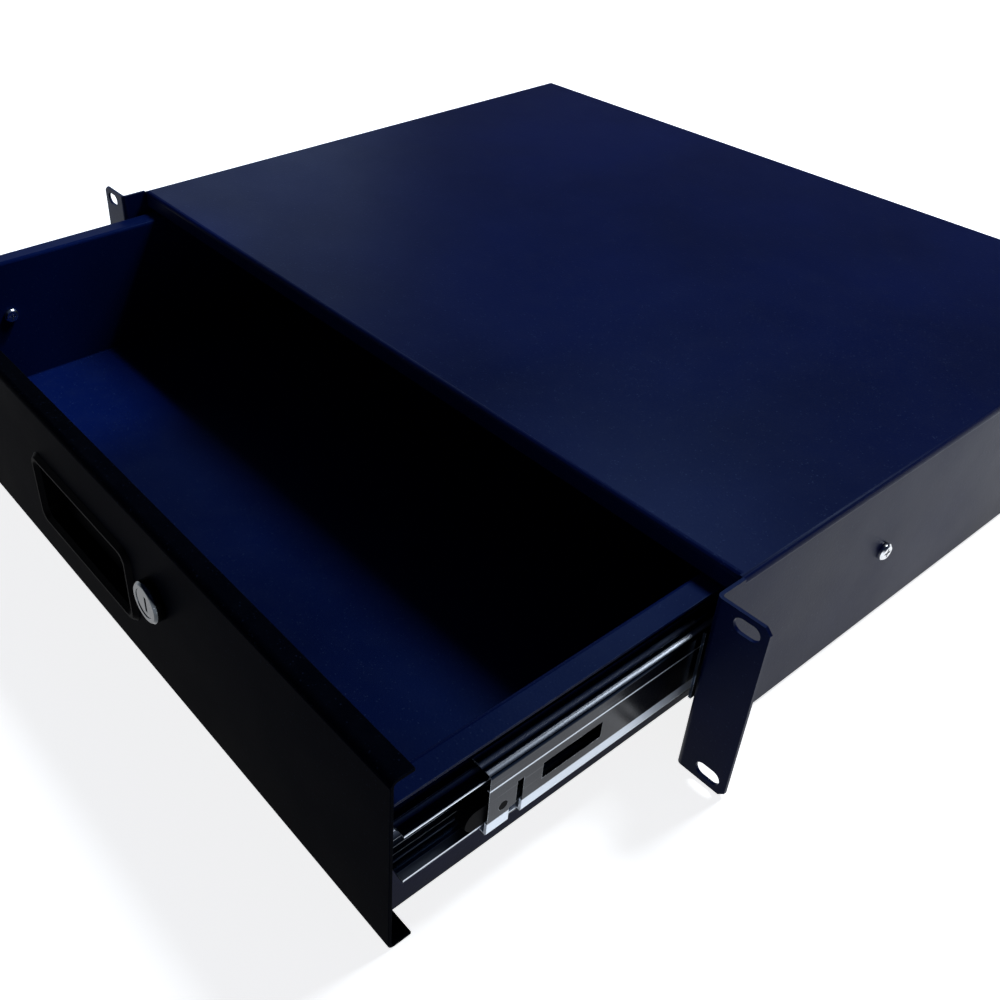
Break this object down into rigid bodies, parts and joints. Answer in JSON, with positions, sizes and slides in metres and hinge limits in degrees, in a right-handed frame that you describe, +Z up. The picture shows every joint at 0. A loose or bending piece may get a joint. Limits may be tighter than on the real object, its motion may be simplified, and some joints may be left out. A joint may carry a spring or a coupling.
{
  "type": "sliding rack drawer",
  "caption": "Black steel sliding rack drawer with rack ears, recessed handle cup, key lock and full-extension ball-bearing slides, standing partly open.",
  "frame": {"origin": "middle of the four ear slots, on the front plane of the rack ears", "axes": "+X to the right as seen from the front, +Y towards the back of the rack, +Z up"},
  "size_m": [0.4826, 0.5028, 0.0882],
  "materials": {
    "powder_coat": "fine-texture semi-gloss powder coat, blue-black",
    "zinc_steel": "bright zinc-plated cold-rolled steel",
    "cage_steel": "plain pressed strip",
    "ball_steel": "polished bearing steel",
    "black_plastic": "moulded, satin",
    "lever_plastic": "moulded, satin",
    "lock_chrome": "polished plating on zinc",
    "screw_steel": "bright nickel plating"
  },
  "bodies": {
    "chassis": {"chassis_shell": "powder_coat", "rear_panel": "powder_coat", "cabinet_member_left": "zinc_steel", "cabinet_member_right": "zinc_steel", "spacer_bushes": "zinc_steel", "chassis_screws": "screw_steel", "rear_bumpers": "black_plastic"},
    "outer_cage_left": {"outer_cage_left": "cage_steel", "outer_balls_left": "ball_steel"},
    "outer_cage_right": {"outer_cage_right": "cage_steel", "outer_balls_right": "ball_steel"},
    "middle_left": {"middle_member_left": "zinc_steel", "front_bumper_left": "black_plastic"},
    "middle_right": {"middle_member_right": "zinc_steel", "front_bumper_right": "black_plastic"},
    "inner_cage_left": {"inner_cage_left": "cage_steel", "inner_balls_left": "ball_steel"},
    "inner_cage_right": {"inner_cage_right": "cage_steel", "inner_balls_right": "ball_steel"},
    "drawer": {"drawer_tray": "powder_coat", "drawer_back": "powder_coat", "front_panel": "powder_coat", "handle_cup": "black_plastic", "lock_barrel": "lock_chrome", "lock_nut": "zinc_steel", "drawer_screws": "screw_steel", "drawer_member_left": "zinc_steel", "drawer_member_right": "zinc_steel", "lever_rivets": "zinc_steel"},
    "lock": {"lock_plug": "lock_chrome", "lock_cam": "zinc_steel", "cam_screw": "screw_steel"},
    "lever_left": {"release_lever_left": "lever_plastic"},
    "lever_right": {"release_lever_right": "lever_plastic"}
  },
  "joints": [
    {"name": "middle_left_slide", "type": "slide", "parent": "chassis", "child": "middle_left", "axis": [0, -1, 0], "range_m": [-0.11, 0.065]},
    {"name": "middle_right_slide", "type": "slide", "parent": "chassis", "child": "middle_right", "axis": [0, -1, 0], "range_m": [-0.11, 0.065]},
    {"name": "drawer_slide", "type": "slide", "parent": "middle_left", "child": "drawer", "axis": [0, -1, 0], "range_m": [-0.028, 0.147]},
    {"name": "outer_cage_left_roll", "type": "slide", "parent": "chassis", "child": "outer_cage_left", "axis": [0, -1, 0], "range_m": [-0.055, 0.0325]},
    {"name": "outer_cage_right_roll", "type": "slide", "parent": "chassis", "child": "outer_cage_right", "axis": [0, -1, 0], "range_m": [-0.055, 0.0325]},
    {"name": "inner_cage_left_roll", "type": "slide", "parent": "middle_left", "child": "inner_cage_left", "axis": [0, -1, 0], "range_m": [-0.014, 0.0735]},
    {"name": "inner_cage_right_roll", "type": "slide", "parent": "middle_right", "child": "inner_cage_right", "axis": [0, -1, 0], "range_m": [-0.014, 0.0735]},
    {"name": "lock_turn", "type": "hinge", "parent": "drawer", "child": "lock", "pos_m": [0.0632, -0.118, 0.00705], "axis": [0, -1, 0], "range_deg": [0, 90]},
    {"name": "lever_left_press", "type": "hinge", "parent": "drawer", "child": "lever_left", "pos_m": [-0.2044, 0.099, 0.00395], "axis": [-1, 0, 0], "range_deg": [0, 4.5], "stiffness_Nm_per_rad": 0.05},
    {"name": "lever_right_press", "type": "hinge", "parent": "drawer", "child": "lever_right", "pos_m": [0.2044, 0.099, 0.00395], "axis": [-1, 0, 0], "range_deg": [0, 4.5], "stiffness_Nm_per_rad": 0.05}
  ],
  "couplings": [
    {"joint": "middle_right_slide", "follows": "middle_left_slide", "ratio": 1},
    {"joint": "outer_cage_left_roll", "follows": "middle_left_slide", "ratio": 0.5},
    {"joint": "outer_cage_right_roll", "follows": "middle_left_slide", "ratio": 0.5},
    {"joint": "inner_cage_left_roll", "follows": "drawer_slide", "ratio": 0.5},
    {"joint": "inner_cage_right_roll", "follows": "drawer_slide", "ratio": 0.5}
  ]
}
